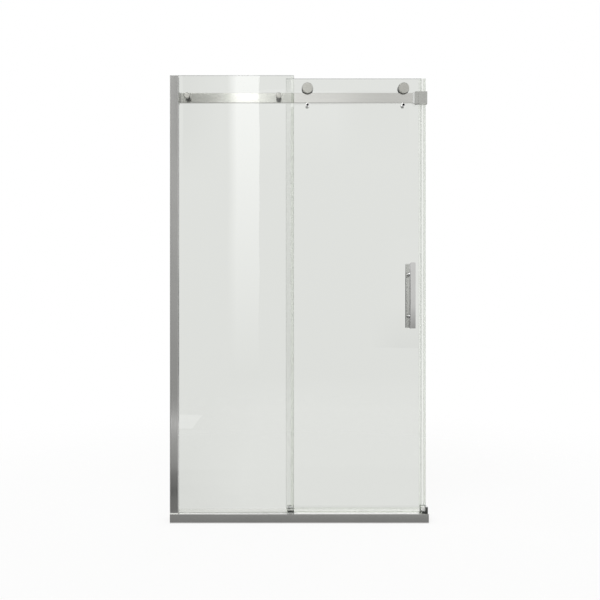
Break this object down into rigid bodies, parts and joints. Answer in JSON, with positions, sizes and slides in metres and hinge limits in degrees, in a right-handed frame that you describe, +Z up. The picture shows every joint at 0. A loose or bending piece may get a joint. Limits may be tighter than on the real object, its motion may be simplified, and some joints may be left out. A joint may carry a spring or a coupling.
{
  "type": "sliding shower door",
  "caption": "Frameless sliding shower door: fixed glass in a wall post, door glass on grooved wheels over a flat header rail, pull bars on both faces.",
  "frame": {"origin": "underside of the sill, mid width of the opening, in the middle plane of the door glass", "axes": "+X along the opening towards the closing wall, -Y out of the shower into the room, +Z up"},
  "size_m": [1.156, 0.128, 2.005],
  "materials": {
    "bright_aluminium": "bright anodised, mirror-like",
    "satin_aluminium": "plain anodised",
    "polished_rail": "polished stainless flat bar",
    "rail_fitting": "satin stainless",
    "satin_steel": "satin turned discs",
    "chrome": "polished chrome plate",
    "dark_chrome": "polished chrome, in shade",
    "steel": "plain stainless fasteners",
    "clear_glass": "clear toughened, polished edges",
    "clear_vinyl": "clear extruded vinyl",
    "clear_washer": "clear plastic washers",
    "white_nylon": "white nylon",
    "black_nylon": "black nylon spacers",
    "pale_bumper": "pale soft rubber",
    "dark_rubber": "black rubber",
    "wheel_polymer": "grey moulded nylon"
  },
  "bodies": {
    "frame": {"sill": "bright_aluminium", "sill_filler": "bright_aluminium", "setting_blocks": "dark_rubber", "sill_gasket": "clear_vinyl", "wall_channel": "satin_aluminium", "jamb_profile": "bright_aluminium", "jamb_gasket": "clear_vinyl", "jamb_cap": "bright_aluminium", "jamb_foot": "white_nylon", "jamb_screws": "steel", "fixed_panel": "clear_glass", "fixed_panel_seal": "clear_vinyl", "header_rail": "polished_rail", "standoff_caps": "chrome", "standoff_sleeves": "white_nylon", "standoff_washers": "clear_washer", "standoff_barrels": "black_nylon", "rail_screws": "steel", "bracket_base_right": "rail_fitting", "rail_bracket_right": "rail_fitting", "bracket_base_left": "rail_fitting", "rail_bracket_left": "rail_fitting", "bracket_set_screws": "steel", "rail_bumper": "pale_bumper", "bottom_guide": "dark_chrome", "guide_liners": "white_nylon", "guide_screws": "steel", "corner_guide": "dark_chrome", "corner_insert": "white_nylon", "corner_screws": "steel", "open_stop": "dark_chrome", "open_stop_pad": "dark_rubber"},
    "door": {"door_panel": "clear_glass", "glass_sleeves": "white_nylon", "strike_seal": "clear_vinyl", "door_sweep": "clear_vinyl", "roller_axles": "steel", "roller_washers": "clear_washer", "roller_spacers": "steel", "bearing_inner_rings": "steel", "roller_caps": "satin_steel", "roller_inner_caps": "satin_steel", "anti_lift_pins": "chrome", "anti_lift_washers": "clear_washer", "anti_lift_screws": "steel", "handle_outer": "chrome", "handle_inner": "chrome", "handle_standoffs": "chrome", "handle_washers": "clear_washer", "handle_bolts": "steel"},
    "roller_left": {"wheel_left": "wheel_polymer", "bearing_left": "steel", "balls_left": "steel"},
    "roller_right": {"wheel_right": "wheel_polymer", "bearing_right": "steel", "balls_right": "steel"}
  },
  "joints": [
    {"name": "door_slide", "type": "slide", "parent": "frame", "child": "door", "axis": [1, 0, 0], "range_m": [-0.49, 0]},
    {"name": "roller_left_spin", "type": "hinge", "parent": "door", "child": "roller_left", "pos_m": [0.0374, -0.017, 1.9525], "axis": [0, 1, 0], "continuous": true},
    {"name": "roller_right_spin", "type": "hinge", "parent": "door", "child": "roller_right", "pos_m": [0.4714, -0.017, 1.9525], "axis": [0, 1, 0], "continuous": true}
  ],
  "couplings": [
    {"joint": "roller_left_spin", "follows": "door_slide", "rad_per_m": 52.632},
    {"joint": "roller_right_spin", "follows": "door_slide", "rad_per_m": 52.632}
  ]
}
